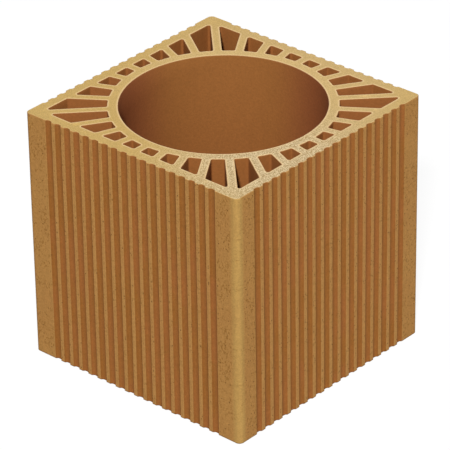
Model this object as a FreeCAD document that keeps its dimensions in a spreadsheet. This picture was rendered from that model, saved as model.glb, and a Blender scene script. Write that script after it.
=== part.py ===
"""Hollow clay block: one extruded and fired piece with a round bore, radial webs and fluted faces.

The section is what the die gives: a round wall about the bore, a square shell, and straight webs that
run out from the round wall to the shell and leave a row of cells along each side. Each outer face has
a row of shallow flutes between two plain corner bands. Millimetres, +Z up, with the origin on the
bore's axis at the lower bed face.
"""

import FreeCAD, Part
import Sketcher

import math
import os

NODE = "clay_block"

SIZES = {
    "block_height": 238.0,
    "bore_diameter": 180.0,
    "ring_wall": 9.7,
    "cell_depth": 9.1,
    "shell_wall": 11.2,
    "corner_radius": 4.7,
    "web_thickness": 8.2,
    "corner_web_angle": 45.7,
    "cells_per_side": 8,
    "cell_radius": 1.0,
    "flutes_per_face": 18,
    "flute_width": 6.4,
    "flute_depth": 1.65,
    "flute_wall_angle": 48.0,
    "flute_floor_radius": 2.0,
    "front_band": 24.3,
    "side_band": 22.0,
}

# The stack from the bore out to the faces sets the side of the square block.
SIDE = "(sizes.bore_diameter + 2 * (sizes.ring_wall + sizes.cell_depth + sizes.shell_wall))"
CORE_SIDE = f"({SIDE} - 2 * sizes.shell_wall)"
RING_DIAMETER = "(sizes.bore_diameter + 2 * sizes.ring_wall)"

# The bars that become webs run past the corners of the square inside the shell.
BAR_LENGTH = f"(1.5 * {SIDE})"

# The cores reach this far past both bed faces, so that every cell is open at both ends.
CORE_OVERRUN = 5.0
CORE_LEVEL = f"-{CORE_OVERRUN}"
CORE_LENGTH = f"(sizes.block_height + 2 * {CORE_OVERRUN})"

# The corner webs bound both fans of webs: one lies about the X axis, the other about the Y axis.
X_STEP = "(2 * sizes.corner_web_angle / sizes.cells_per_side)"
Y_STEP = "(2 * (90 - sizes.corner_web_angle) / sizes.cells_per_side)"

# Each face's turn about Z from the front face, and the plain band at each end of its flutes.
FACES = {
    "front": (0, "front_band"),
    "right": (90, "side_band"),
    "back": (180, "front_band"),
    "left": (270, "side_band"),
}

# A cell's corners are never rounded by more than this share of its depth.
ROUNDING_SHARE = 0.3

# Point numbers of a sketch line or circle, and the sketch's own origin.
START, END, CENTRE = 1, 2, 3
ORIGIN = (-1, START)

# Two places closer than this are the same place.
SAME_PLACE = 0.001


def make_sheet(doc):
    """The driving dimensions, one aliased cell each."""
    sheet = doc.addObject("Spreadsheet::Sheet", "sizes")
    for row, (alias, value) in enumerate(SIZES.items(), start=1):
        sheet.set(f"A{row}", alias)
        sheet.set(f"B{row}", str(value))
        sheet.setAlias(f"B{row}", alias)
    doc.recompute()


def value_of(item, expression):
    """The present value of an expression on the sheet."""
    return float(item.evalExpression(expression))


def origin_feature(body, role):
    """One of the body's own origin planes or axes."""
    return next(item for item in body.Origin.OriginFeatures if item.Role == role)


def make_sketch(body, name, turn="0", level="0"):
    """A level sketch at a height above the lower bed, turned about Z by an expression in degrees."""
    sketch = body.newObject("Sketcher::SketchObject", name)
    sketch.AttachmentSupport = (origin_feature(body, "XY_Plane"), [""])
    sketch.MapMode = "FlatFace"
    sketch.setExpression(".AttachmentOffset.Rotation.Angle", turn)
    sketch.setExpression(".AttachmentOffset.Base.z", level)
    return sketch


def relate(sketch, kind, *where):
    """A relation between elements of the sketch, by its number."""
    return sketch.addConstraint(Sketcher.Constraint(kind, *where))


def bind(sketch, kind, where, expression, name):
    """A named dimension of the sketch, tied to the sheet by an expression."""
    index = relate(sketch, kind, *where, value_of(sketch, expression))
    sketch.renameConstraint(index, name)
    sketch.setExpression(f"Constraints.{name}", expression)


def add_line(sketch, start, end):
    """A straight line between two points given as pairs."""
    return sketch.addGeometry(Part.LineSegment(FreeCAD.Vector(*start, 0), FreeCAD.Vector(*end, 0)), False)


def add_rectangle(sketch, width, height, name):
    """A rectangle centred on the origin, with its two sides bound to expressions."""
    x = value_of(sketch, width) / 2
    y = value_of(sketch, height) / 2
    lower = add_line(sketch, (-x, -y), (x, -y))
    right = add_line(sketch, (x, -y), (x, y))
    upper = add_line(sketch, (x, y), (-x, y))
    left = add_line(sketch, (-x, y), (-x, -y))
    for line, following in ((lower, right), (right, upper), (upper, left), (left, lower)):
        relate(sketch, "Coincident", line, END, following, START)
    for line in (lower, upper):
        relate(sketch, "Horizontal", line)
    for line in (left, right):
        relate(sketch, "Vertical", line)
    relate(sketch, "Symmetric", lower, START, upper, START, *ORIGIN)
    bind(sketch, "DistanceX", (lower, START, lower, END), width, f"{name}_width")
    bind(sketch, "DistanceY", (right, START, right, END), height, f"{name}_height")


def add_circle(sketch, diameter, name):
    """A circle about the origin, with its diameter bound to an expression."""
    outline = Part.Circle(FreeCAD.Vector(), FreeCAD.Vector(0, 0, 1), value_of(sketch, diameter) / 2)
    circle = sketch.addGeometry(outline, False)
    relate(sketch, "Coincident", circle, CENTRE, *ORIGIN)
    bind(sketch, "Diameter", (circle,), diameter, name)


def add_arc(sketch, centre, radius, first, last):
    """An arc about a point given as a pair, anticlockwise between two angles in degrees."""
    circle = Part.Circle(FreeCAD.Vector(*centre, 0), FreeCAD.Vector(0, 0, 1), radius)
    return sketch.addGeometry(Part.ArcOfCircle(circle, math.radians(first), math.radians(last)), False)


def add_flute_outline(sketch, band):
    """The first flute of the front face: two sloping walls and a flat floor, joined by round corners."""
    face = value_of(sketch, SIDE) / 2
    left = value_of(sketch, f"sizes.{band}") - face
    right = left + value_of(sketch, "sizes.flute_width")
    floor = value_of(sketch, "sizes.flute_depth") - face
    radius = value_of(sketch, "sizes.flute_floor_radius")
    slope = value_of(sketch, "sizes.flute_wall_angle")
    rise, run = math.sin(math.radians(slope)), math.cos(math.radians(slope))
    wall_top = floor - radius * (1 - run)
    wall_run = (wall_top + face) * run / rise
    inset = wall_run + radius * rise

    mouth = add_line(sketch, (left, -face), (right, -face))
    right_wall = add_line(sketch, (right, -face), (right - wall_run, wall_top))
    right_foot = add_arc(sketch, (right - inset, floor - radius), radius, 90 - slope, 90)
    bottom = add_line(sketch, (right - inset, floor), (left + inset, floor))
    left_foot = add_arc(sketch, (left + inset, floor - radius), radius, 90, 90 + slope)
    left_wall = add_line(sketch, (left + wall_run, wall_top), (left, -face))

    relate(sketch, "Coincident", mouth, END, right_wall, START)
    relate(sketch, "Tangent", right_wall, END, right_foot, START)
    relate(sketch, "Tangent", right_foot, END, bottom, START)
    relate(sketch, "Tangent", bottom, END, left_foot, START)
    relate(sketch, "Tangent", left_foot, END, left_wall, START)
    relate(sketch, "Coincident", left_wall, END, mouth, START)
    relate(sketch, "Horizontal", mouth)
    relate(sketch, "Horizontal", bottom)
    relate(sketch, "Equal", left_foot, right_foot)
    relate(sketch, "Equal", left_wall, right_wall)
    bind(sketch, "DistanceX", (mouth, START, *ORIGIN), f"{SIDE} / 2 - sizes.{band}", "band_end")
    bind(sketch, "DistanceY", (mouth, START, *ORIGIN), f"{SIDE} / 2", "face")
    bind(sketch, "DistanceX", (mouth, START, mouth, END), "sizes.flute_width", "mouth_width")
    bind(sketch, "DistanceY", (mouth, START, bottom, END), "sizes.flute_depth", "depth")
    bind(sketch, "Radius", (right_foot,), "sizes.flute_floor_radius", "floor_radius")
    bind(sketch, "Angle", (mouth, START, left_wall, END), "sizes.flute_wall_angle * 1 deg", "wall_slope")


def make_pad(body, sketch, name, length="sizes.block_height"):
    """The sketch extruded upwards, by the block's height unless another length is given."""
    pad = body.newObject("PartDesign::Pad", name)
    pad.Profile = sketch
    pad.setExpression("Length", length)
    body.Document.recompute()
    return pad


def make_pocket(body, sketch, name):
    """The sketch cut upwards through the whole block."""
    before = body.Shape.Volume
    pocket = body.newObject("PartDesign::Pocket", name)
    pocket.Profile = sketch
    pocket.Type = "ThroughAll"
    pocket.Reversed = True
    body.Document.recompute()
    if body.Shape.Volume >= before:
        raise RuntimeError(f"{name} cuts nothing")
    return pocket


def finish_pattern(body, pattern, feature, count):
    """Sets what a pattern repeats and how often, and makes it the body's last feature."""
    pattern.Originals = [feature]
    pattern.setExpression("Occurrences", count)
    body.Tip = pattern
    body.Document.recompute()


def round_uprights(body, name, radius):
    """Rounds every upright edge of the body to a radius bound to an expression."""
    base = body.Tip
    edges = []
    for number, edge in enumerate(base.Shape.Edges, start=1):
        first, last = edge.Vertexes[0].Point, edge.Vertexes[-1].Point
        if math.hypot(last.x - first.x, last.y - first.y) < SAME_PLACE < abs(last.z - first.z):
            edges.append(f"Edge{number}")
    fillet = body.newObject("PartDesign::Fillet", name)
    fillet.Base = (base, edges)
    fillet.setExpression("Radius", radius)
    body.Document.recompute()


def add_web_fan(body, name, first_turn, step, count):
    """Bars across the bore's axis, an equal angle apart, each of which leaves a web at either end."""
    sketch = make_sketch(body, f"{name}_sketch", first_turn, CORE_LEVEL)
    add_rectangle(sketch, BAR_LENGTH, "sizes.web_thickness", "bar")
    bar = make_pad(body, sketch, f"{name}_bar", CORE_LENGTH)
    fan = body.newObject("PartDesign::PolarPattern", f"{name}_fan")
    fan.Axis = (origin_feature(body, "Z_Axis"), [""])
    fan.Mode = "Spacing"
    fan.setExpression("Offset", step)
    finish_pattern(body, fan, bar, count)


def add_round_wall_and_webs(webs):
    """The round wall, still solid, and the webs that stand out from it past the shell."""
    sketch = make_sketch(webs, "ring_sketch", level=CORE_LEVEL)
    add_circle(sketch, RING_DIAMETER, "ring_diameter")
    make_pad(webs, sketch, "ring", CORE_LENGTH)
    add_web_fan(webs, "x_web", "-sizes.corner_web_angle", X_STEP, "sizes.cells_per_side + 1")
    add_web_fan(webs, "y_web", f"sizes.corner_web_angle + {Y_STEP}", Y_STEP, "sizes.cells_per_side - 1")


def add_cores(doc, webs):
    """The die's cores: what the round wall and the webs leave of the square inside the shell."""
    square = doc.addObject("PartDesign::Body", "core_square")
    sketch = make_sketch(square, "core_sketch", level=CORE_LEVEL)
    add_rectangle(sketch, CORE_SIDE, CORE_SIDE, "core")
    make_pad(square, sketch, "core_pad", CORE_LENGTH)
    split = doc.addObject("Part::Cut", "core_split")
    split.Base = square
    split.Tool = webs
    doc.recompute()
    cores = doc.addObject("PartDesign::Body", "cores")
    cores.BaseFeature = split
    doc.recompute()
    radius = f"min(sizes.cell_radius; {ROUNDING_SHARE} * sizes.cell_depth)"
    round_uprights(cores, "core_rounding", radius)
    return cores


def add_square_block(body):
    """The plain square block with its rounded upright corners."""
    sketch = make_sketch(body, "face_sketch")
    add_rectangle(sketch, SIDE, SIDE, "face")
    make_pad(body, sketch, "square_block")
    round_uprights(body, "corner_rounding", "sizes.corner_radius")


def add_flutes(body):
    """The row of flutes on each face, evenly spread between the face's two plain bands."""
    for face, (turn, band) in FACES.items():
        sketch = make_sketch(body, f"{face}_flute_sketch", str(turn))
        add_flute_outline(sketch, band)
        flute = make_pocket(body, sketch, f"{face}_flute")
        row = body.newObject("PartDesign::LinearPattern", f"{face}_flutes")
        row.Direction = (sketch, ["H_Axis"])
        row.setExpression("Length", f"{SIDE} - 2 * sizes.{band} - sizes.flute_width")
        finish_pattern(body, row, flute, "sizes.flutes_per_face")


def add_bore(body):
    """The round bore from bed face to bed face."""
    sketch = make_sketch(body, "bore_sketch")
    add_circle(sketch, "sizes.bore_diameter", "bore_diameter")
    make_pocket(body, sketch, "bore")


def add_cells(body, cores):
    """The cells, which the cores keep open through the block."""
    cells = body.newObject("PartDesign::Boolean", "cells")
    cells.Type = "Cut"
    cells.Group = [cores]
    body.Tip = cells
    body.Document.recompute()


def check(doc, body):
    """Stops unless every object of the document is sound and the body is one valid solid."""
    for item in doc.Objects:
        if "Invalid" in item.State or "Error" in item.State:
            raise RuntimeError(f"{item.Name} failed: {item.State}")
    shape = body.Shape
    if shape.isNull() or not shape.isValid() or len(shape.Solids) != 1:
        raise RuntimeError(f"{body.Label} isn't one valid solid")


def main():
    """Builds the block and writes its solid."""
    doc = FreeCAD.newDocument("hollow_clay_block")
    make_sheet(doc)
    webs = doc.addObject("PartDesign::Body", "webs")
    add_round_wall_and_webs(webs)
    cores = add_cores(doc, webs)
    body = doc.addObject("PartDesign::Body", NODE)
    body.Label = NODE
    body.Placement = FreeCAD.Placement()
    add_square_block(body)
    add_flutes(body)
    add_bore(body)
    add_cells(body, cores)
    check(doc, body)
    os.makedirs("parts", exist_ok=True)
    body.Shape.exportStep(f"parts/{body.Label}.step")


main()
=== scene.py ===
"""Looks of a hollow clay block: soft extruded edges, pale cut beds and fluted faces, in studio light."""

import logging
import math
from abc import ABC, abstractmethod
from collections.abc import Sequence
from dataclasses import dataclass
from enum import IntEnum, StrEnum
from typing import NamedTuple

import bpy
import numpy as np
from mathutils import Matrix, Vector, geometry, noise


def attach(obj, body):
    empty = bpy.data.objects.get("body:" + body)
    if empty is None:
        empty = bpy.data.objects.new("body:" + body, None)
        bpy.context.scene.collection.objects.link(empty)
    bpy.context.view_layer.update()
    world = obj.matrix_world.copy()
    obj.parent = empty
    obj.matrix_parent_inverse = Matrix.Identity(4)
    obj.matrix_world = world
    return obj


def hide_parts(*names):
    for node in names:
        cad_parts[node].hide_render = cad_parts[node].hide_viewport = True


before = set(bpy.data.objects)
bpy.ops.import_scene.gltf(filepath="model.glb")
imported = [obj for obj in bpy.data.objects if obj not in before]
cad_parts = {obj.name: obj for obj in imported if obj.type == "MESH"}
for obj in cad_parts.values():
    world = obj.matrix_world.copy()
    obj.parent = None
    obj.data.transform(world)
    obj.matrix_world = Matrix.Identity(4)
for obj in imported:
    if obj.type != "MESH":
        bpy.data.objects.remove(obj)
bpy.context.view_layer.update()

LOG = logging.getLogger("hollow_clay_block")
NODE = "clay_block"
BODY = "root"
MM = 0.001

Triple = tuple[float, float, float]
Colour = tuple[float, float, float, float]
Span = tuple[float, float]
Socket = bpy.types.NodeSocket

UP: Triple = (0, 0, 1)
WHOLE: Span = (0, 1)
FADE: Span = (1, 0)
WHITE: Colour = (1, 1, 1, 1)


def paint(red: int, green: int, blue: int) -> Colour:
    """A display colour of 0 to 255 a channel as a linear colour with full cover.

    Args:
        red: Red as it shows on a screen.
        green: Green as it shows on a screen.
        blue: Blue as it shows on a screen.

    Returns:
        The linear colour and an alpha of 1.
    """
    parts = [value / 255 for value in (red, green, blue)]
    # This is the curve of a usual screen, which is straight near black.
    linear = [p / 12.92 if p <= 0.04045 else ((p + 0.055) / 1.055) ** 2.4 for p in parts]
    return (linear[0], linear[1], linear[2], 1.0)


def unit(vectors: np.ndarray) -> np.ndarray:
    """Vectors along the last axis, brought to a length of 1."""
    return vectors / np.linalg.norm(vectors, axis=-1, keepdims=True)


def turned(rows: np.ndarray, quarters: int) -> np.ndarray:
    """Turns points about the bore's axis, from the front face towards the right one.

    Args:
        rows: The points, one row each, with their place in plan in the first two columns.
        quarters: How many quarter turns.

    Returns:
        The turned points, with any other columns as they were.
    """
    for _ in range(quarters):
        rows = np.column_stack([-rows[:, 1], rows[:, 0], rows[:, 2:]])
    return rows


def smooth_noise(place: Sequence[float]) -> float:
    """Smooth noise at a place, from 0 to 1."""
    return min(max(0.5 + 0.5 * noise.noise(Vector(place)), 0.0), 1.0)


def signed_area(points: np.ndarray) -> float:
    """The area inside a closed line, positive where it runs anticlockwise."""
    following = np.roll(points, -1, axis=0)
    return 0.5 * float(np.sum(points[:, 0] * following[:, 1] - following[:, 0] * points[:, 1]))


def inside(line: np.ndarray, places: np.ndarray) -> np.ndarray:
    """Which of some places lie inside a closed line.

    Args:
        line: The line's points.
        places: The places to test, one row each.

    Returns:
        True for each place inside.
    """
    found = np.zeros(len(places), bool)
    for (x0, y0), (x1, y1) in zip(line, np.roll(line, -1, axis=0)):
        crosses = (y0 > places[:, 1]) != (y1 > places[:, 1])
        with np.errstate(divide="ignore", invalid="ignore"):
            reach = x0 + (places[:, 1] - y0) * (x1 - x0) / (y1 - y0)
        found ^= crosses & (places[:, 0] < reach)
    return found


def in_clay(lines: list[np.ndarray], places: np.ndarray) -> np.ndarray:
    """Which places lie inside the outer line of a section and outside every hole.

    Args:
        lines: The section's lines, the outer one first.
        places: The places to test, one row each.

    Returns:
        True for each place in the clay.
    """
    found = inside(lines[0], places)
    for line in lines[1:]:
        found &= ~inside(line, places)
    return found


class Zone(IntEnum):
    """The kinds of surface the block has, by their material's place in the list."""

    BED = 0
    SKIN = 1
    BORE = 2
    CELL = 3


class Trait(StrEnum):
    """The values from 0 to 1 that the mesh's points carry for the finishes."""

    RECESS = "recess"
    BAND = "band"
    WEAR_AND_HIGHLIGHT = "wear_and_highlight"
    WEB = "web"
    EDGE = "edge"


class Level(NamedTuple):
    """One level of a surface between the two beds.

    Attributes:
        base: Height that the level is measured from.
        rise: Height above the base, in rims.
        inset: Distance into the clay, in rims.
        edge: Nearness to a bed's edge, from 0 to 1.
    """

    base: float
    rise: float
    inset: float
    edge: float


@dataclass(frozen=True)
class Ends:
    """How a surface is divided and how it meets the beds.

    Attributes:
        rim: The radius that softens the surface's ends.
        margin: Width of the pale margin on the beds along it.
        levels: How many levels the surface has between its two soft ends.
    """

    rim: float
    margin: float
    levels: int


@dataclass
class Outline:
    """One closed line of the block's section, run with the clay on its left.

    Attributes:
        zone: The kind of surface that rises from the line.
        ends: How that surface meets the beds.
        points: The line's points in plan, one row each.
        traits: What the points carry.
    """

    zone: Zone
    ends: Ends
    points: np.ndarray
    traits: dict[Trait, np.ndarray]

    def into_clay(self) -> np.ndarray:
        """Finds the way into the clay all along the line.

        Returns:
            A unit vector for each point, square to the line.
        """
        ahead = unit(np.roll(self.points, -1, axis=0) - self.points)
        along = unit(ahead + np.roll(ahead, 1, axis=0))
        return np.column_stack([-along[:, 1], along[:, 0]])

    def bed_line(self) -> np.ndarray:
        """The line on the beds where the pale margin ends, one row a point."""
        return self.points + self.into_clay() * (self.ends.rim + self.ends.margin)


@dataclass(frozen=True)
class Flute:
    """The shape of one flute across its length.

    Attributes:
        mouth: Width where the walls would meet the face.
        depth: Depth of the floor below the face.
        slope: Angle between wall and face, in degrees.
        floor_radius: Radius between floor and wall.
        lip_radius: Radius between wall and face.
        arc_steps: Straight steps that make up each radius.
    """

    mouth: float = 6.4 * MM
    depth: float = 1.65 * MM
    slope: float = 48.0
    floor_radius: float = 2.0 * MM
    lip_radius: float = 1.0 * MM
    arc_steps: int = 3

    def profile(self) -> np.ndarray:
        """Places across the flute and their depths, from its left lip to its right lip.

        Returns:
            Rows of offset from the flute's middle and depth below the face.
        """
        turn = np.linspace(0, math.radians(self.slope), self.arc_steps + 1)
        slope = turn[-1]
        lip_start = -self.mouth / 2 - self.lip_radius * math.tan(slope / 2)
        wall_drop = self.depth - self.floor_radius * (1 - math.cos(slope))
        floor_half = self.mouth / 2 - wall_drop / math.tan(slope) - self.floor_radius * math.sin(slope)
        lip = np.column_stack([
            lip_start + self.lip_radius * np.sin(turn),
            self.lip_radius * (1 - np.cos(turn)),
        ])
        foot = np.column_stack([
            -floor_half - self.floor_radius * np.sin(turn[::-1]),
            self.depth - self.floor_radius * (1 - np.cos(turn[::-1])),
        ])
        left = np.vstack([lip, foot])
        right = left[::-1] * (-1, 1)
        return np.vstack([left, [[0.0, self.depth]], right])


@dataclass(frozen=True)
class Section:
    """The block's section, as the die gives it.

    Attributes:
        side: Side of the square block.
        bore_radius: Radius of the round bore.
        ring_radius: Outer radius of the round wall about the bore.
        core: Distance from the axis to the shell's inner faces.
        web: Thickness of the webs.
        corner_angle: Angle of the corner webs from the X axis, in degrees.
        cells: Cells along each side.
        cell_radius: Radius of a cell's corners.
        flute: The shape of the flutes.
        flutes: Flutes on each face.
        front_band: Plain band at each end of the front and back faces.
        side_band: Plain band at each end of the left and right faces.
        corner_radius: Radius of the block's upright corners.
        wear_highlight_reach: Distance from the rubbed front corner over which its wear and painted highlight
            fade.
        wear_highlight_power: How suddenly they fade there.
        face_ends: How the outer faces meet the beds.
        bore_ends: How the bore meets the beds.
        cell_ends: How the cells meet the beds.
        band_steps: Straight steps that make up a band.
        corner_steps: Straight steps that make up an upright corner.
        bore_steps: Straight steps that make up the bore.
        cell_corner_steps: Straight steps that make up a cell's corner.
        cell_wall_steps: Straight steps between two of those corners' tips.
    """

    side: float = 240.0 * MM
    bore_radius: float = 90.0 * MM
    ring_radius: float = 99.7 * MM
    core: float = 108.8 * MM
    web: float = 8.2 * MM
    corner_angle: float = 45.7
    cells: int = 8
    cell_radius: float = 1.5 * MM
    flute: Flute = Flute()
    flutes: int = 18
    front_band: float = 24.3 * MM
    side_band: float = 22.0 * MM
    corner_radius: float = 4.5 * MM
    wear_highlight_reach: float = 6.2 * MM
    wear_highlight_power: int = 6
    face_ends: Ends = Ends(rim=0.5 * MM, margin=0.25 * MM, levels=14)
    bore_ends: Ends = Ends(rim=0.5 * MM, margin=1.8 * MM, levels=14)
    cell_ends: Ends = Ends(rim=0.4 * MM, margin=1.8 * MM, levels=7)
    band_steps: int = 14
    corner_steps: int = 9
    bore_steps: int = 288
    cell_corner_steps: int = 6
    cell_wall_steps: int = 4

    def face_line(self, band: float) -> np.ndarray:
        """The front face's line from its left corner to the end of its right corner.

        Args:
            band: Plain band at each end of the face.

        Returns:
            Rows of place along the face, depth below it and share of a flute's depth.
        """
        half = self.side / 2
        straight = half - self.corner_radius
        profile = self.flute.profile()
        first = -half + band + self.flute.mouth / 2
        middles = np.linspace(first, -first, self.flutes)
        lands = (middles[:-1] + middles[1:]) / 2
        plain = np.linspace(-straight, first - profile[-1, 0], self.band_steps + 1)[:-1]
        rows = [np.column_stack([plain, np.zeros_like(plain)])]
        for middle, land in zip(middles, lands):
            rows += [profile + (middle, 0), [(land, 0.0)]]
        rows.append(profile + (middles[-1], 0))
        rows.append(np.column_stack([-plain[::-1], np.zeros_like(plain)]))
        turn = np.linspace(0, math.pi / 2, self.corner_steps + 1)[1:-1]
        rows.append(np.column_stack([
            straight + self.corner_radius * np.sin(turn),
            self.corner_radius * (1 - np.cos(turn)),
        ]))
        line = np.vstack(rows)
        recess = np.clip(line[:, 1] / self.flute.depth, 0, 1)
        recess[-len(turn):] = 0
        return np.column_stack([line, recess])

    def faces(self) -> Outline:
        """The four fluted faces as one line round the block.

        Returns:
            The line, with its flutes, its plain bands and its rubbed corner's wear and painted highlight as
            traits.
        """
        half = self.side / 2
        parts = []
        for quarter, band in enumerate((self.front_band, self.side_band) * 2):
            parts.append(turned(self.face_line(band) - (0, half, 0), quarter))
        rows = np.vstack(parts)
        tip = half - self.corner_radius * (1 - math.sqrt(0.5))
        gaps = np.hypot(rows[:, 0] - tip, rows[:, 1] + tip)
        # The smaller coordinate of a point is its distance from the middle of its face.
        from_middle = np.min(np.abs(rows[:, :2]), axis=1)
        traits = {
            Trait.RECESS: rows[:, 2],
            Trait.BAND: from_middle > half - self.side_band - self.flute.lip_radius,
            # The rubbed corner's pale band is partly wear and partly a painted highlight that widens the
            # light on its rounding.
            Trait.WEAR_AND_HIGHLIGHT: np.exp(-(gaps / self.wear_highlight_reach) ** self.wear_highlight_power),
        }
        return Outline(Zone.SKIN, self.face_ends, rows[:, :2], traits)

    def bore(self) -> Outline:
        """The round bore.

        Returns:
            Its line, which has no traits.
        """
        turn = np.linspace(0, -2 * math.pi, self.bore_steps, endpoint=False)
        points = self.bore_radius * np.column_stack([np.cos(turn), np.sin(turn)])
        return Outline(Zone.BORE, self.bore_ends, points, {})

    def cell_corners(self, first: float, second: float) -> np.ndarray:
        """The four corners of the cell between two webs of one side.

        Args:
            first: Angle of the web nearer the side's middle, in radians from the side's normal.
            second: Angle of the web nearer the block's corner.

        Returns:
            Rows of place along the side and distance out from the axis, the first and last on the round wall.
        """
        run = math.sqrt(self.ring_radius ** 2 - (self.web / 2) ** 2)
        on_ring = []
        on_shell = []
        for angle, half in ((first, self.web / 2), (second, -self.web / 2)):
            sine, cosine = math.sin(angle), math.cos(angle)
            on_ring.append((sine * run + cosine * half, cosine * run - sine * half))
            on_shell.append(((self.core * sine + half) / cosine, self.core))
        return np.array([on_ring[0], on_shell[0], on_shell[1], on_ring[1]])

    def cell_line(self, corners: np.ndarray) -> np.ndarray:
        """A cell's line with its corners rounded.

        Args:
            corners: The cell's corners in order, the first and last on the round wall.

        Returns:
            Rows of the line's points in the same order, with 1 for those on a web and 0 for the rest.
        """
        rows = []
        for i, corner in enumerate(corners):
            wall = np.roll(corners, -1, axis=0)[i] - corner
            back, ahead = unit(corners[i - 1] - corner), unit(wall)
            is_web = i % 2 == 0
            is_ring = i == len(corners) - 1
            opening = math.acos(float(np.clip(back @ ahead, -1, 1)))
            setback = self.cell_radius / math.tan(opening / 2)
            start, end = corner + back * setback, corner + ahead * setback
            for share in np.linspace(0, 1, self.cell_corner_steps + 1):
                # These three weights keep the points on a true arc.
                pull = 2 * share * (1 - share) * math.sin(opening / 2)
                total = (1 - share) ** 2 + pull + share ** 2
                point = ((1 - share) ** 2 * start + pull * corner + share ** 2 * end) / total
                rows.append((*point, share if is_web else 1 - share))
            for share in np.linspace(0, 1, self.cell_wall_steps + 1)[1:-1]:
                point = corner + wall * share
                if is_ring:
                    point = unit(point) * self.ring_radius
                rows.append((*point, float(is_web)))
        return np.array(rows)

    def cell_lines(self) -> list[Outline]:
        """Every cell of the block, side by side.

        Returns:
            The cells' lines, with their webs as a trait.
        """
        outlines = []
        for quarter in range(4):
            fan = self.corner_angle if quarter % 2 else 90 - self.corner_angle
            step = math.radians(fan) / (self.cells / 2)
            for place in range(self.cells // 2):
                line = self.cell_line(self.cell_corners(place * step, (place + 1) * step))
                for mirror in (1, -1):
                    # Unmirrored lines run with the clay on their right, so they are turned round.
                    rows = turned(line * (mirror, -1, 1), quarter)[::-mirror]
                    traits = {Trait.WEB: rows[:, 2]}
                    outlines.append(Outline(Zone.CELL, self.cell_ends, rows[:, :2], traits))
        return outlines

    def outlines(self) -> list[Outline]:
        """The outer faces first, then the bore and the cells."""
        return [self.faces(), self.bore()] + self.cell_lines()


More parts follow.
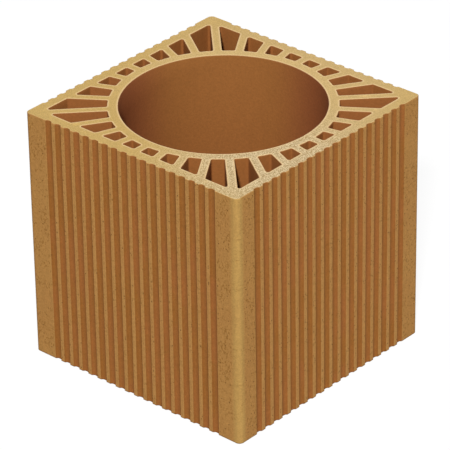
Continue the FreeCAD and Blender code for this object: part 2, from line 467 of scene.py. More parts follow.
@dataclass
class FiredBlock:
    """The block's shown mesh: soft-ended surfaces on every line of the section, closed by two beds.

    Attributes:
        section: The section that is extruded.
        height: Height between the two beds.
        rim_steps: Straight steps that soften each end of a surface.
        rim_hold: Distance in rims from a bed to the level that keeps the surface straight.
        lower_rim: Size of the soft lower ends against the upper ones.
        rim_waver: Share by which a soft end's radius varies along it.
        rim_lumps: Lumps a metre in that variation.
        crowding: How much closer the levels lie near the ends, where light shows the form.
        waver: How far a face may lie below its true place.
        wall_lumps: Lumps a metre in that waver on upright surfaces, along each axis.
        bed_lumps: Lumps a metre in that waver on the beds.
        bed_step: Spacing of the points inside a bed.
        bed_jitter: Share of the spacing by which they are moved at random.
        bed_margin: Least distance between those points and a bed's edges.
        bed_seed: Seed of the random moves.
        same_place: Points of a bed closer than this are one point.
    """

    section: Section = Section()
    height: float = 238.0 * MM
    rim_steps: int = 4
    rim_hold: float = 2.0
    lower_rim: float = 0.3
    rim_waver: float = 0.35
    rim_lumps: float = 130.0
    crowding: float = 0.35
    waver: float = 0.12 * MM
    wall_lumps: Triple = (55.0, 55.0, 14.0)
    bed_lumps: float = 60.0
    bed_step: float = 4.0 * MM
    bed_jitter: float = 0.3
    bed_margin: float = 1.8 * MM
    bed_seed: int = 5
    same_place: float = 1e-7

    def __post_init__(self) -> None:
        """Starts the lists that the mesh is gathered in."""
        self.places: list[np.ndarray] = []
        self.values: dict[Trait, list[np.ndarray]] = {trait: [] for trait in Trait}
        self.faces: list[tuple[int, ...]] = []
        self.zones: list[int] = []
        self.count = 0

    def add_points(self, places: np.ndarray, values: dict[Trait, np.ndarray | float]) -> int:
        """Adds points to the mesh.

        Args:
            places: The points, one row each.
            values: What the points carry, which is 0 where it isn't given.

        Returns:
            The first point's number.
        """
        first = self.count
        self.places.append(places)
        for trait, gathered in self.values.items():
            gathered.append(np.broadcast_to(values.get(trait, 0.0), len(places)))
        self.count += len(places)
        return first

    def add_face(self, corners: Sequence[int], zone: Zone) -> None:
        """Adds a face of one kind of surface between points given by number."""
        self.faces.append(tuple(corners))
        self.zones.append(int(zone))

    def levels(self, count: int) -> list[Level]:
        """The levels of a surface from the lower bed to the upper one.

        Args:
            count: How many of them lie between the two soft ends.

        Returns:
            The levels, upwards.
        """
        turn = np.linspace(math.pi / 2, 0, self.rim_steps + 1)
        soft = [(1 - math.sin(angle), 1 - math.cos(angle)) for angle in turn]
        soft.append((self.rim_hold, 0.0))
        even = np.linspace(0, 1, count + 2)[1:-1]
        crowded = 0.5 - 0.5 * np.cos(math.pi * even)
        shares = self.crowding * crowded + (1 - self.crowding) * even
        lower = [Level(0.0, self.lower_rim * rise, self.lower_rim * inset, inset) for rise, inset in soft]
        between = [Level(float(share) * self.height, 0.0, 0.0, 0.0) for share in shares]
        upper = [Level(self.height, -rise, inset, inset) for rise, inset in reversed(soft)]
        return lower + between + upper

    def add_level(self, outline: Outline, clay: np.ndarray, level: Level) -> int:
        """Adds the points of one level of a surface.

        Args:
            outline: The line that the surface rises from.
            clay: A unit vector into the clay for each of its points.
            level: The level.

        Returns:
            The first point's number.
        """
        radius = np.empty(len(clay))
        waver = np.empty(len(clay))
        for i, (x, y) in enumerate(outline.points):
            swell = noise.noise(Vector((x, y, level.base)) * self.rim_lumps)
            radius[i] = outline.ends.rim * (1 + self.rim_waver * swell)
            waver[i] = self.waver * smooth_noise(np.multiply((x, y, level.base), self.wall_lumps))
        plan = outline.points + clay * (radius * level.inset + waver)[:, None]
        places = np.column_stack([plan, level.base + radius * level.rise])
        return self.add_points(places, {Trait.EDGE: level.edge, **outline.traits})

    def add_surface(self, outline: Outline) -> tuple[int, int]:
        """Adds the surface that rises from one line, and its pale margins on the two beds.

        Args:
            outline: The line.

        Returns:
            The numbers of the first point of its lower margin's line and of its upper one's.
        """
        clay = outline.into_clay()
        firsts = [self.add_level(outline, clay, level) for level in self.levels(outline.ends.levels)]
        plan = outline.bed_line()
        low, high = (
            self.add_points(np.column_stack([plan, np.full(len(plan), level)]), {})
            for level in (0.0, self.height)
        )
        zones = [Zone.BED] + [outline.zone] * (len(firsts) - 1) + [Zone.BED]
        for zone, lower, upper in zip(zones, [low] + firsts, firsts + [high]):
            for i in range(len(plan)):
                j = (i + 1) % len(plan)
                self.add_face((lower + i, lower + j, upper + j, upper + i), zone)
        return low, high

    def bed_spots(self, lines: list[np.ndarray]) -> np.ndarray:
        """Points spread inside a bed, clear of its edges.

        Args:
            lines: The bed's edges, the outer one first.

        Returns:
            The points in plan, one row each.
        """
        half = self.section.side / 2
        grid = np.arange(-half, half, self.bed_step)
        x, y = np.meshgrid(grid, grid)
        draw = np.random.default_rng(self.bed_seed)
        shift = draw.uniform(-self.bed_jitter, self.bed_jitter, (x.size, 2)) * self.bed_step
        spots = np.column_stack([x.ravel(), y.ravel()]) + shift
        spots = spots[in_clay(lines, spots)]
        edges = np.vstack(lines)
        gaps = np.array([np.min(np.hypot(*(edges - spot).T)) for spot in spots])
        return spots[gaps > self.bed_margin]

    def bed_triangles(self, lines: list[np.ndarray], spots: np.ndarray) -> list[list[int]]:
        """Joins a bed's edges and the points inside it by triangles.

        Args:
            lines: The bed's edges, the outer one first.
            spots: The points inside it, one row each.

        Returns:
            The triangles, anticlockwise, by numbers that run through the lines and then the spots.
        """
        plan = np.vstack(lines + [spots])
        borders = []
        start = 0
        for line in lines:
            borders += [(start + i, start + (i + 1) % len(line)) for i in range(len(line))]
            start += len(line)
        coords, _, faces, origins, _, _ = geometry.delaunay_2d_cdt(
            [Vector(point) for point in plan], borders, [], 0, self.same_place
        )
        flat = np.array([(c.x, c.y) for c in coords])
        kept = in_clay(lines, flat[np.array(faces)].mean(axis=1))
        triangles = []
        for face in (face for face, is_clay in zip(faces, kept) if is_clay):
            corners = [origins[i][0] for i in face]
            if signed_area(plan[corners]) < 0:
                corners.reverse()
            triangles.append(corners)
        return triangles

    def add_beds(self, outlines: list[Outline], ends: list[tuple[int, int]]) -> None:
        """Closes the mesh with the two cut beds.

        Args:
            outlines: The section's lines, the outer one first.
            ends: For each line the first points of its lower and its upper margin's line.
        """
        lines = [outline.bed_line() for outline in outlines]
        spots = self.bed_spots(lines)
        triangles = self.bed_triangles(lines, spots)
        for upper in (False, True):
            dips = [smooth_noise((*(spot * self.bed_lumps), float(upper))) for spot in spots]
            sunk = self.waver * np.array(dips)
            level = self.height - sunk if upper else sunk
            firsts = [end[upper] for end in ends]
            firsts.append(self.add_points(np.column_stack([spots, level]), {}))
            numbers = []
            for first, points in zip(firsts, lines + [spots]):
                numbers += range(first, first + len(points))
            for corners in triangles:
                outward = corners if upper else corners[::-1]
                self.add_face([numbers[i] for i in outward], Zone.BED)

    def build(self) -> bpy.types.Object:
        """Makes the mesh object.

        Returns:
            The object, in the row frame and not yet dressed.
        """
        outlines = self.section.outlines()
        ends = [self.add_surface(outline) for outline in outlines]
        self.add_beds(outlines, ends)
        mesh = bpy.data.meshes.new("fired_block")
        mesh.from_pydata([tuple(p) for p in np.vstack(self.places)], [], self.faces)
        mesh.polygons.foreach_set("material_index", self.zones)
        mesh.polygons.foreach_set("use_smooth", [True] * len(self.faces))
        for trait, values in self.values.items():
            layer = mesh.attributes.new(trait.value, "FLOAT", "POINT")
            layer.data.foreach_set("value", np.concatenate(values).astype(np.float32))
        mesh.validate()
        mesh.update()
        block = bpy.data.objects.new("fired_block", mesh)
        bpy.context.scene.collection.objects.link(block)
        return block

    def dress(self, block: bpy.types.Object) -> None:
        """Gives each kind of surface its finish.

        Args:
            block: The block's mesh object.
        """
        finishes: dict[Zone, ClayFinish] = {
            Zone.BED: CutClay(),
            Zone.SKIN: FlutedSkin(),
            Zone.BORE: BoreSkin(),
            Zone.CELL: CellSkin(),
        }
        for zone in Zone:
            block.data.materials.append(finishes[zone].material())


@dataclass(frozen=True)
class Grain:
    """Lumpy noise.

    Attributes:
        scale: Lumps a metre.
        detail: How many finer layers lie on the lumps.
        stretch: Factor along each axis, under 1 where the lumps are drawn out.
        reach: How far the noise makes a colour lighter and darker.
        patches: Values of the noise at which a patch begins and is whole.
    """

    scale: float
    detail: float
    stretch: Triple = (1, 1, 1)
    reach: float = 0.0
    patches: Span = WHOLE


@dataclass(frozen=True)
class Pits:
    """Small round pits at scattered places.

    Attributes:
        scale: Places a metre where a pit may be.
        share: Share of those places that have one.
        size: Radius of a pit against the distance between places.
    """

    scale: float
    share: float
    size: float


@dataclass(frozen=True)
class Tint:
    """A colour that is laid over another.

    Attributes:
        colour: The colour.
        share: How much of the other colour it hides.
    """

    colour: Colour
    share: float


class Nodes:
    """A tree of shader nodes that are added one by one."""

    def __init__(self, tree: bpy.types.NodeTree) -> None:
        """Keeps the tree that the nodes go into."""
        self.tree = tree

    def add(
        self, kind: str, inputs: dict[str | int, object], output: str | int = 0, **settings: object
    ) -> Socket:
        """Adds a node.

        Args:
            kind: The node's type.
            inputs: Values or sockets for its inputs, by name or number.
            output: The output that is wanted.
            **settings: The node's own settings.

        Returns:
            The wanted output.
        """
        node = self.tree.nodes.new(kind)
        for key, value in settings.items():
            setattr(node, key, value)
        for key, value in inputs.items():
            if isinstance(value, bpy.types.NodeSocket):
                self.tree.links.new(value, node.inputs[key])
            else:
                node.inputs[key].default_value = value
        return node.outputs[output]

    def join(self, source: Socket, node: str, name: str) -> None:
        """Joins a socket to an input of a node that the tree came with."""
        self.tree.links.new(source, self.tree.nodes[node].inputs[name])

    def worked_out(self, operation: str, *values: Socket | float) -> Socket:
        """What an operation makes of a few values."""
        return self.add("ShaderNodeMath", dict(enumerate(values)), operation=operation)

    def product(self, first: Socket, second: Socket | float) -> Socket:
        """Two values multiplied."""
        return self.worked_out("MULTIPLY", first, second)

    def larger(self, first: Socket, second: Socket) -> Socket:
        """The larger of two values."""
        return self.worked_out("MAXIMUM", first, second)

    def on_show(self) -> Socket:
        """Tells rays that show the surroundings from rays that only carry their light.

        Returns:
            1 for rays seen straight, in gloss or through glass, and 0 for the rest.
        """
        path = self.tree.nodes.new("ShaderNodeLightPath")
        shown = path.outputs["Is Camera Ray"]
        for kind in ("Is Glossy Ray", "Is Transmission Ray"):
            shown = self.larger(shown, path.outputs[kind])
        return shown


class NodeSheet(Nodes):
    """The nodes of a dull clay material, placed by the object's own coordinates.

    Attributes:
        GLOSS: How much the clay shines.
        RELIEF: How strongly its relief shows.
        LAYER_SHARE: Strength of each finer layer of a noise against the one before.
        PIT_CHOICE: How far the chance of a pit blurs.
    """

    GLOSS = 0.12
    RELIEF = 0.8
    LAYER_SHARE = 0.6
    PIT_CHOICE = 0.02

    def __init__(self, name: str, dullness: float) -> None:
        """Starts a material.

        Args:
            name: The material's name.
            dullness: How rough the surface is, from 0 to 1.
        """
        self.material = bpy.data.materials.new(name)
        self.material.use_nodes = True
        super().__init__(self.material.node_tree)
        surface = self.tree.nodes["Principled BSDF"]
        surface.inputs["Roughness"].default_value = dullness
        surface.inputs["Specular IOR Level"].default_value = self.GLOSS
        self.place = self.add("ShaderNodeTexCoord", {}, "Object")

    def stretched(self, scale: Triple) -> Socket:
        """The object's own coordinates, multiplied along each axis."""
        return self.add("ShaderNodeMapping", {"Vector": self.place, "Scale": scale}, vector_type="POINT")

    def grain(self, grain: Grain) -> Socket:
        """Lumpy noise from 0 to 1.

        Args:
            grain: What the noise is like.

        Returns:
            The noise.
        """
        inputs = {
            "Vector": self.stretched(grain.stretch),
            "Scale": grain.scale,
            "Detail": grain.detail,
            "Roughness": self.LAYER_SHARE,
        }
        return self.add("ShaderNodeTexNoise", inputs)

    def spread(self, value: Socket, span: Span, to: Span = WHOLE) -> Socket:
        """A value moved smoothly from one span to another and held at its ends."""
        inputs = {"Value": value, "From Min": span[0], "From Max": span[1], "To Min": to[0], "To Max": to[1]}
        return self.add("ShaderNodeMapRange", inputs, interpolation_type="SMOOTHSTEP")

    def patches(self, grain: Grain, to: Span = WHOLE) -> Socket:
        """Patches where a noise is strong, from 0 to 1 unless another span is given."""
        return self.spread(self.grain(grain), grain.patches, to)

    def mix(self, share: Socket | float, first: object, second: object, blend: str = "MIX") -> Socket:
        """A colour between two colours, or the two of them blended in another way."""
        # The node has its colours at the inputs 6 and 7 and the mixed one at the output 2.
        inputs = {0: share, 6: first, 7: second}
        return self.add("ShaderNodeMix", inputs, 2, data_type="RGBA", blend_type=blend)

    def tint(self, colour: Socket, tint: Tint, where: Socket) -> Socket:
        """A colour with a tint laid over it where a value is 1."""
        return self.mix(self.product(where, tint.share), colour, tint.colour)

    def shade(self, colour: Socket, value: Socket, reach: Socket | float) -> Socket:
        """A colour made lighter and darker.

        Args:
            colour: The colour.
            value: Where it is darkest, at 0, and lightest, at 1.
            reach: How far it is from the darkest to the lightest.

        Returns:
            The shaded colour.
        """
        factor = self.worked_out("MULTIPLY_ADD", self.worked_out("SUBTRACT", value, 0.5), reach, 1.0)
        return self.mix(1.0, colour, factor, "MULTIPLY")

    def grained(self, colour: Socket, grain: Grain) -> Socket:
        """A colour made lighter and darker by a noise."""
        return self.shade(colour, self.grain(grain), grain.reach)

    def along(self, direction: Triple) -> Socket:
        """The distance from the origin along a direction."""
        inputs = {0: self.place, 1: direction}
        return self.add("ShaderNodeVectorMath", inputs, "Value", operation="DOT_PRODUCT")

    def lean(self, direction: Triple, span: Span, to: Span = WHOLE) -> Socket:
        """A value that changes between two distances along a direction."""
        return self.spread(self.along(direction), span, to)

    def gap(self, middle: Triple) -> Socket:
        """The level distance from an upright line."""
        inputs = {0: self.stretched((1, 1, 0)), 1: middle}
        return self.add("ShaderNodeVectorMath", inputs, "Value", operation="DISTANCE")

    def scattered(self, scale: float, output: str) -> Socket:
        """An output of the pattern of scattered places, so many a metre."""
        inputs = {"Vector": self.place, "Scale": scale, "Randomness": 1.0}
        return self.add("ShaderNodeTexVoronoi", inputs, output)

    def crumbs(self, scale: float) -> Socket:
        """A random value from 0 to 1 for each small crumb, so many crumbs a metre."""
        return self.add("ShaderNodeSeparateColor", {0: self.scattered(scale, "Color")})

    def carried(self, trait: Trait) -> Socket:
        """A value that the mesh's points carry."""
        return self.add("ShaderNodeAttribute", {}, "Fac", attribute_name=trait.value)

    def pits(self, pits: Pits) -> Socket:
        """Small round pits.

        Args:
            pits: What the pits are like.

        Returns:
            1 in the middle of a pit, 0 outside.
        """
        near = self.spread(self.scattered(pits.scale, "Distance"), (pits.size / 2, pits.size), FADE)
        least = 1 - pits.share
        return self.product(near, self.spread(self.crumbs(pits.scale), (least, least + self.PIT_CHOICE)))

    def finish(self, colour: Socket, height: Socket, depth: float) -> bpy.types.Material:
        """Joins colour and relief to the surface.

        Args:
            colour: The surface's colour.
            height: The relief, from 0 to 1.
            depth: The relief's depth in metres.

        Returns:
            The finished material.
        """
        self.join(colour, "Principled BSDF", "Base Color")
        inputs = {"Height": height, "Strength": self.RELIEF, "Distance": depth}
        self.join(self.add("ShaderNodeBump", inputs), "Principled BSDF", "Normal")
        return self.material


@dataclass(frozen=True, kw_only=True)
class ClayFinish(ABC):
    """What the finishes of the block's surfaces have in common.

    Attributes:
        name: Name of the material.
        dullness: How rough the surface is, from 0 to 1.
        relief: Depth of its relief.
        crumb_scale: Crumbs a metre.
        crumb_reach: How far the crumbs make the colour lighter and darker.
        rim: Tint of the cut edges.
    """

    name: str
    dullness: float = 0.85
    relief: float
    crumb_scale: float
    crumb_reach: float
    rim: Tint

    @abstractmethod
    def layers(self, sheet: NodeSheet) -> tuple[Socket, Socket]:
        """Lays on the colours one by one.

        Args:
            sheet: The material's nodes.

        Returns:
            The colour and the relief.
        """

    def material(self) -> bpy.types.Material:
        """Builds the material.

        Returns:
            The material.
        """
        sheet = NodeSheet(self.name, self.dullness)
        colour, height = self.layers(sheet)
        return sheet.finish(colour, height, self.relief)

    def crumbled(self, sheet: NodeSheet, colour: Socket) -> Socket:
        """A colour made lighter and darker by the crumbs."""
        return sheet.shade(colour, sheet.crumbs(self.crumb_scale), self.crumb_reach)

    def rimmed(self, sheet: NodeSheet, colour: Socket) -> Socket:
        """A colour with the tint of the cut edges laid over it."""
        return sheet.tint(colour, self.rim, sheet.carried(Trait.EDGE))


@dataclass(frozen=True, kw_only=True)
class CutClay(ClayFinish):
    """The wire-cut clay of the beds, sandier towards one corner.

    Attributes:
        smooth: Colour away from the sandier patch.
        dusty: Colour of the back of the bed.
        to_dusty: Direction from the cleaner side to the dustier one.
        dusty_span: Distances along it between which the dust gathers.
        dusty_ring: Distances from the axis between which the dust thins out.
        corner_dust: Share of the dust that is left at the corners.
        ring: Tint of the round wall about the bore, at its back.
        ring_edge: Distances from the axis between which that tint ends.
        to_back: Direction to the palest stretch of the round wall.
        back_span: Distances along it between which the wall grows pale.
        patch: Where the sandier patch has its middle.
        patch_span: Distances from it between which the sand thins out.
        brown_grain: Colour of the darkest grains of the sand.
        pale_grain: Colour of the palest ones.
        clouds: Broad lighter and darker stretches.
        fine: The finest grain, which is also the relief.
        fine_reach: How far it makes clean clay and sand lighter and darker.
        speck: Tint of scattered dark specks.
        specks: Those specks.
    """

    name: str = "cut_clay"
    dullness: float = 0.9
    relief: float = 0.2 * MM
    crumb_scale: float = 1700
    crumb_reach: float = 0.28
    rim: Tint = Tint(paint(243, 209, 156), share=0.85)
    smooth: Colour = paint(204, 170, 103)
    dusty: Colour = paint(208, 176, 117)
    to_dusty: Triple = (0.45, 0.9, 0.0)
    dusty_span: Span = (-0.05, 0.1)
    dusty_ring: Span = (0.13, 0.16)
    corner_dust: float = 0.4
    ring: Tint = Tint(paint(215, 183, 123), share=0.8)
    ring_edge: Span = (0.098, 0.102)
    to_back: Triple = (-0.45, 0.9, 0.0)
    back_span: Span = (-0.03, 0.1)
    patch: Triple = (0.105, -0.055, 0.0)
    patch_span: Span = (0.028, 0.13)
    brown_grain: Colour = paint(158, 123, 70)
    pale_grain: Colour = paint(245, 223, 178)
    clouds: Grain = Grain(scale=130, detail=3, reach=0.12)
    fine: Grain = Grain(scale=1900, detail=2)
    fine_reach: Span = (0.24, 0.8)
    speck: Tint = Tint(paint(150, 110, 66), share=0.6)
    specks: Pits = Pits(scale=330, share=0.06, size=0.2)

    def layers(self, sheet: NodeSheet) -> tuple[Socket, Socket]:
        """Lays on clean clay, dust, sand, clouds, grain, specks and pale edges.

        Args:
            sheet: The material's nodes.

        Returns:
            The colour and the relief.
        """
        from_axis = sheet.gap((0, 0, 0))
        thinning = sheet.spread(from_axis, self.dusty_ring, (1, self.corner_dust))
        dust = sheet.product(sheet.lean(self.to_dusty, self.dusty_span), thinning)
        base = sheet.mix(dust, self.smooth, self.dusty)
        paler = sheet.lean(self.to_back, self.back_span)
        ring = sheet.product(sheet.spread(from_axis, self.ring_edge, FADE), paler)
        base = sheet.tint(base, self.ring, ring)
        crumbs = sheet.crumbs(self.crumb_scale)
        base = sheet.shade(base, crumbs, self.crumb_reach)
        sandy = sheet.spread(sheet.gap(self.patch), self.patch_span, FADE)
        base = sheet.mix(sandy, base, sheet.mix(crumbs, self.brown_grain, self.pale_grain))
        base = sheet.grained(base, self.clouds)
        fine = sheet.grain(self.fine)
        base = sheet.shade(base, fine, sheet.spread(sandy, WHOLE, self.fine_reach))
        base = sheet.tint(base, self.speck, sheet.pits(self.specks))
        return self.rimmed(sheet, base), fine


@dataclass(frozen=True, kw_only=True)
class FlutedSkin(ClayFinish):
    """The extruded skin of the outer faces: ochre lands and corner bands, redder flutes.

    Attributes:
        land: Colour of the lands between flutes.
        band: Colour of the plain bands at the upright corners.
        worn_highlight: Colour of the rubbed upright corner, paler partly from wear and partly as a painted
            highlight.
        wall: Colour of the flutes' walls, darker than their floors partly as painted shade.
        floor: Colour of the flutes' floors.
        lip_depth: Shares of a flute's depth between which land turns to wall.
        floor_depth: Shares of it between which wall turns to floor.
        blush: Colour that the skin turns towards in blotches.
        blotches: Those blotches.
        blush_depth: Shares of a flute's depth between which the blush grows.
        blush_share: Strength of the blush on the lands and in the flutes.
        streaks: Upright streaks.
        checks: Fine level checks, which are also the relief.
        lumps: Lumps of every size.
        sheltered: Shares of recess or of the corner's wear and painted highlight between which marks and pits
            grow few.
        sheltered_share: Share of the marks and pits outside and inside such places.
        mark: Colour of short winding marks.
        marks: Those marks.
        mark_fields: Where there are more of them.
        mark_field_share: Share of them elsewhere and there.
        mark_share: Strength of their colour on the lands and on the bands.
        pit: Tint of the pits.
        small_pits: The small pits.
        large_pits: The larger pits.
        tick: Tint of short level ticks.
        ticks: Those ticks.
        tick_fields: Where they are.
        foot: Tint of the flutes' lowest few millimetres.
        foot_span: Heights between which that tint fades.
        contact_shade: Painted shade along the faces' lowest edge, where they meet the floor.
        contact_shade_span: Heights between which that painted shade fades.
    """

    name: str = "fluted_skin"
    relief: float = 0.25 * MM
    crumb_scale: float = 1100
    crumb_reach: float = 0.16
    rim: Tint = Tint(paint(206, 174, 118), share=0.5)
    land: Colour = paint(178, 130, 73)
    band: Colour = paint(175, 128, 70)
    worn_highlight: Colour = paint(182, 143, 80)
    wall: Colour = paint(140, 89, 38)
    floor: Colour = paint(146, 94, 43)
    lip_depth: Span = (0.0, 0.035)
    floor_depth: Span = (0.75, 1.0)
    blush: Colour = paint(154, 93, 52)
    blotches: Grain = Grain(scale=45, detail=2, stretch=(1, 1, 0.5), patches=(0.35, 0.65))
    blush_depth: Span = (0.0, 0.3)
    blush_share: Span = (0.1, 0.4)
    streaks: Grain = Grain(scale=380, detail=3, stretch=(1, 1, 0.05), reach=0.16)
    checks: Grain = Grain(scale=700, detail=2, stretch=(1, 1, 2.5), reach=0.28)
    lumps: Grain = Grain(scale=300, detail=4, reach=0.34)
    sheltered: Span = (0.0, 0.4)
    sheltered_share: Span = (1.0, 0.2)
    mark: Colour = paint(140, 97, 43)
    marks: Grain = Grain(scale=780, detail=1, stretch=(1, 1, 0.6), patches=(0.56, 0.64))
    mark_fields: Grain = Grain(scale=60, detail=2, patches=(0.4, 0.6))
    mark_field_share: Span = (0.25, 1.0)
    mark_share: Span = (0.4, 0.8)
    pit: Tint = Tint(paint(100, 66, 28), share=0.9)
    small_pits: Pits = Pits(scale=400, share=0.14, size=0.26)
    large_pits: Pits = Pits(scale=220, share=0.3, size=0.17)
    tick: Tint = Tint(paint(140, 97, 43), share=0.4)
    ticks: Grain = Grain(scale=800, detail=1, stretch=(0.3, 0.3, 1), patches=(0.58, 0.68))
    tick_fields: Grain = Grain(scale=35, detail=1, patches=(0.48, 0.58))
    foot: Tint = Tint(paint(158, 94, 38), share=0.4)
    foot_span: Span = (0.0, 8 * MM)
    contact_shade: Tint = Tint(paint(100, 66, 28), share=0.6)
    contact_shade_span: Span = (0.2 * MM, 1.2 * MM)

    def tone(self, sheet: NodeSheet, recess: Socket, band: Socket, wear_and_highlight: Socket) -> Socket:
        """The skin's colour before its grain.

        Args:
            sheet: The material's nodes.
            recess: Share of a flute's depth.
            band: 1 on the plain bands.
            wear_and_highlight: 1 on the rubbed corner, which carries wear and a painted highlight.

        Returns:
            The colour.
        """
        # The front corner's paler colour is partly wear and partly a painted highlight.
        land = sheet.mix(wear_and_highlight, sheet.mix(band, self.land, self.band), self.worn_highlight)
        # The flutes' walls are coloured darker than their floors, partly as painted shade.
        flute = sheet.mix(sheet.spread(recess, self.floor_depth), self.wall, self.floor)
        base = sheet.mix(sheet.spread(recess, self.lip_depth), land, flute)
        strength = sheet.spread(recess, self.blush_depth, self.blush_share)
        return sheet.mix(sheet.product(sheet.patches(self.blotches), strength), base, self.blush)

    def layers(self, sheet: NodeSheet) -> tuple[Socket, Socket]:
        """Lays on the skin, its grain, marks, pits, ticks and pale edges, its foot tint, and painted shade
        along its lowest edge.

        Args:
            sheet: The material's nodes.

        Returns:
            The colour and the relief.
        """
        recess, band, wear_and_highlight = map(sheet.carried, (Trait.RECESS, Trait.BAND, Trait.WEAR_AND_HIGHLIGHT))
        base = sheet.grained(self.tone(sheet, recess, band, wear_and_highlight), self.streaks)
        checks = sheet.grain(self.checks)
        base = sheet.shade(base, checks, self.checks.reach)
        base = self.crumbled(sheet, sheet.grained(base, self.lumps))
        bare = sheet.spread(sheet.larger(recess, wear_and_highlight), self.sheltered, self.sheltered_share)
        fields = sheet.product(sheet.patches(self.mark_fields, self.mark_field_share), bare)
        marks = sheet.product(sheet.patches(self.marks), fields)
        strength = sheet.spread(band, WHOLE, self.mark_share)
        base = sheet.mix(sheet.product(marks, strength), base, self.mark)
        pits = sheet.larger(sheet.pits(self.small_pits), sheet.pits(self.large_pits))
        pits = sheet.product(pits, bare)
        base = sheet.tint(base, self.pit, pits)
        ticks = sheet.product(sheet.patches(self.ticks), sheet.patches(self.tick_fields))
        base = self.rimmed(sheet, sheet.tint(base, self.tick, ticks))
        foot = sheet.product(sheet.lean(UP, self.foot_span, FADE), recess)
        base = sheet.tint(base, self.foot, foot)
        # Painted shade along the lowest edge, where the faces meet the floor.
        base = sheet.tint(base, self.contact_shade, sheet.lean(UP, self.contact_shade_span, FADE))
        return base, sheet.worked_out("SUBTRACT", checks, pits)


@dataclass(frozen=True, kw_only=True)
class HoleSkin(ClayFinish):
    """The smooth wall of a hole, with painted shade that makes it darker further down.

    Attributes:
        wall: Colour of the wall near its upper end.
        deep_shade: Colour of the wall further down, darker as painted shade.
        heights: Heights between which the one turns into the other.
        drag: Upright drag lines.
        lumps: Small lumps, which are also the relief.
    """

    relief: float = 0.15 * MM
    crumb_scale: float = 800
    crumb_reach: float = 0.1
    rim: Tint = Tint(paint(214, 186, 134), share=0.7)
    wall: Colour
    deep_shade: Colour
    heights: Span = (0.1, 0.235)
    drag: Grain = Grain(scale=200, detail=3, stretch=(1, 1, 0.15), reach=0.1)
    lumps: Grain = Grain(scale=500, detail=3, reach=0.3)

    def tone(self, sheet: NodeSheet) -> Socket:
        """The wall's colour before its grain, with painted shade further down."""
        # Painted shade: the wall turns darker further down the hole.
        return sheet.mix(sheet.lean(UP, self.heights), self.deep_shade, self.wall)

    def layers(self, sheet: NodeSheet) -> tuple[Socket, Socket]:
        """Lays on the wall's own colour, drag lines, lumps, crumbs and pale edges.

        Args:
            sheet: The material's nodes.

        Returns:
            The colour and the relief.
        """
        base = sheet.grained(self.tone(sheet), self.drag)
        height = sheet.grain(self.lumps)
        base = self.crumbled(sheet, sheet.shade(base, height, self.lumps.reach))
        return self.rimmed(sheet, base), height


@dataclass(frozen=True, kw_only=True)
class BoreSkin(HoleSkin):
    """The wall of the bore, with painted shade on its two sides across the camera's view.

    Attributes:
        side: Colour of the two sides across the camera's view, darker and redder as painted shade.
        across: Direction from one of those sides to the other.
        shaded_side_span: Distances along it between which that painted shade grows.
    """

    name: str = "bore_skin"
    wall: Colour = paint(145, 93, 46)
    deep_shade: Colour = paint(138, 85, 41)
    side: Colour = paint(139, 80, 45)
    across: Triple = (0.745, 0.667, 0.0)
    shaded_side_span: Span = (0.04, 0.085)

    def tone(self, sheet: NodeSheet) -> Socket:
        """The wall's colour before its grain."""
        aside = sheet.worked_out("ABSOLUTE", sheet.along(self.across))
        # Painted shade: the sides across the camera's view are made darker and redder.
        return sheet.mix(sheet.spread(aside, self.shaded_side_span), super().tone(sheet), self.side)


@dataclass(frozen=True, kw_only=True)
class CellSkin(HoleSkin):
    """The walls of the cells.

    Attributes:
        web: Colour of the webs' walls.
    """

    name: str = "cell_skin"
    wall: Colour = paint(142, 88, 43)
    deep_shade: Colour = paint(134, 82, 40)
    web: Colour = paint(143, 88, 45)

    def tone(self, sheet: NodeSheet) -> Socket:
        """The walls' colour before their grain."""
        return sheet.mix(sheet.carried(Trait.WEB), super().tone(sheet), self.web)


def outwards(azimuth: float, elevation: float) -> Vector:
    """The unit vector at so many degrees round from the front face and above the floor."""
    turn, rise = math.radians(azimuth), math.radians(elevation)
    return Vector((math.sin(turn) * math.cos(rise), -math.cos(turn) * math.cos(rise), math.sin(rise)))


@dataclass(frozen=True)
class Lamp:
    """A square studio lamp that points at the block.

    Attributes:
        name: The lamp's name.
        azimuth: Angle round the block from the front face towards the right face, in degrees.
        elevation: Angle above the floor, in degrees.
        distance: Distance from the block's middle.
        size: Side of the lamp.
        level: How bright a white face turned to the lamp is, where 1 is white.
        aim: Height of the block's middle.
    """

    name: str
    azimuth: float
    elevation: float
    distance: float
    size: float
    level: float
    aim: float = 119.0 * MM

    def build(self) -> None:
        """Adds the lamp to the scene."""
        light = bpy.data.lights.new(self.name, "AREA")
        light.size = self.size
        light.energy = self.level * (math.pi * self.distance) ** 2
        lamp = bpy.data.objects.new(self.name, light)
        bpy.context.scene.collection.objects.link(lamp)
        away = outwards(self.azimuth, self.elevation)
        lamp.location = away * self.distance + Vector((0, 0, self.aim))
        lamp.rotation_euler = away.to_track_quat("Z", "Y").to_euler()


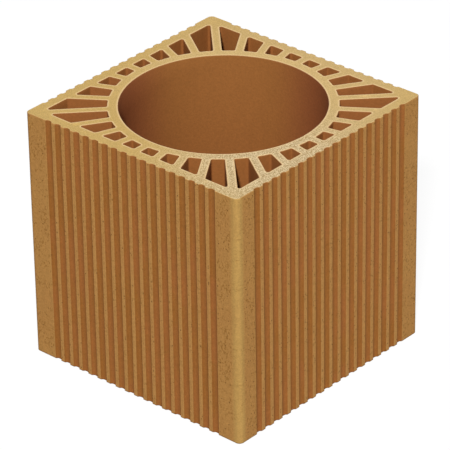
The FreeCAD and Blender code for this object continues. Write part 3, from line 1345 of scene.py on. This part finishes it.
@dataclass(frozen=True)
class Studio:
    """The pale floor, the lamps and the light that fills the room.

    Attributes:
        lamps: The lamps.
        fill: How bright the room's own light is, where 1 is white.
        floor_size: Side of the square floor.
        floor_drop: Gap between the floor and the block.
        floor_shade: How much light the floor throws back.
        floor_white: What is seen of the floor besides that light.
    """

    lamps: tuple[Lamp, ...] = (
        Lamp("key", azimuth=36.0, elevation=38.0, distance=20.0, size=1.2, level=1.2),
        Lamp("low_fill", azimuth=125.0, elevation=5.0, distance=12.0, size=1.6, level=0.24),
        Lamp("back_fill", azimuth=228.0, elevation=3.0, distance=12.0, size=1.6, level=0.45),
    )
    fill: float = 0.18
    floor_size: float = 8.0
    floor_drop: float = 0.2 * MM
    floor_shade: float = 0.08
    floor_white: float = 0.935

    def build(self) -> None:
        """Adds the lamps, the room's light and the floor to the scene."""
        for lamp in self.lamps:
            lamp.build()
        self.build_room()
        self.build_floor()

    def build_room(self) -> None:
        """Lights the room evenly, and shows it white behind the block and in gloss."""
        world = bpy.data.worlds.new("room")
        bpy.context.scene.world = world
        world.use_nodes = True
        nodes = Nodes(world.node_tree)
        level = nodes.add("ShaderNodeMapRange", {"Value": nodes.on_show(), "To Min": self.fill})
        world.node_tree.nodes["Background"].inputs["Color"].default_value = WHITE
        nodes.join(level, "Background", "Strength")

    def floor_material(self) -> bpy.types.Material:
        """Builds the floor's material, which looks white and keeps the block's shadow.

        Returns:
            The material.
        """
        material = bpy.data.materials.new("pale_floor")
        material.use_nodes = True
        tree = material.node_tree
        tree.nodes.remove(tree.nodes["Principled BSDF"])
        nodes = Nodes(tree)
        dull = nodes.add("ShaderNodeBsdfDiffuse", {"Color": (self.floor_shade,) * 3 + (1,)})
        white = nodes.product(nodes.on_show(), self.floor_white)
        glow = nodes.add("ShaderNodeEmission", {"Strength": white})
        nodes.join(nodes.add("ShaderNodeAddShader", {0: dull, 1: glow}), "Material Output", "Surface")
        return material

    def build_floor(self) -> None:
        """Lays the floor."""
        half = self.floor_size / 2
        corners = [(-half, -half, 0), (half, -half, 0), (half, half, 0), (-half, half, 0)]
        mesh = bpy.data.meshes.new("floor")
        mesh.from_pydata(corners, [], [(0, 1, 2, 3)])
        mesh.materials.append(self.floor_material())
        floor = bpy.data.objects.new("floor", mesh)
        bpy.context.scene.collection.objects.link(floor)
        floor.location.z = -self.floor_drop


@dataclass(frozen=True)
class PhotoCamera:
    """The camera, which stands above the block's front corner.

    Attributes:
        place: Where the camera stands.
        azimuth: Angle round the block from the front face towards the right face, in degrees.
        elevation: Angle down to the block, in degrees.
        roll: Tilt of the camera about its line of sight, in degrees.
        lens: Focal length in millimetres.
        sensor: Width of the sensor in millimetres.
        sight: Distance that the camera sees to.
    """

    place: Triple = (1.77595, -1.98749, 1.64641)
    azimuth: float = 41.789
    elevation: float = 29.831
    roll: float = 0.941
    lens: float = 281.83
    sensor: float = 36.0
    sight: float = 50.0

    def build(self) -> None:
        """Adds the camera and makes it the scene's own."""
        turn, roll = math.radians(self.azimuth), math.radians(self.roll)
        back = outwards(self.azimuth, self.elevation)
        level = Vector((math.cos(turn), math.sin(turn), 0))
        above = back.cross(level)
        right = level * math.cos(roll) - above * math.sin(roll)
        up = back.cross(right)
        data = bpy.data.cameras.new("photo_camera")
        data.lens = self.lens
        data.sensor_width = self.sensor
        data.clip_end = self.sight
        camera = bpy.data.objects.new("photo_camera", data)
        bpy.context.scene.collection.objects.link(camera)
        facing = Matrix((right, up, back)).transposed().to_4x4()
        camera.matrix_world = Matrix.Translation(self.place) @ facing
        bpy.context.scene.camera = camera


def main() -> None:
    """Builds the block, its finishes, the studio and the camera."""
    logging.basicConfig(level=logging.INFO, format="%(message)s")
    bpy.context.scene.view_settings.view_transform = "Standard"
    maker = FiredBlock()
    block = maker.build()
    maker.dress(block)
    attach(block, BODY)
    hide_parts(NODE)
    LOG.info("%s: %d faces", block.name, len(block.data.polygons))
    Studio().build()
    LOG.info("studio: floor, room light and lamps")
    PhotoCamera().build()
    LOG.info("camera placed")


if __name__ == "__main__":
    main()
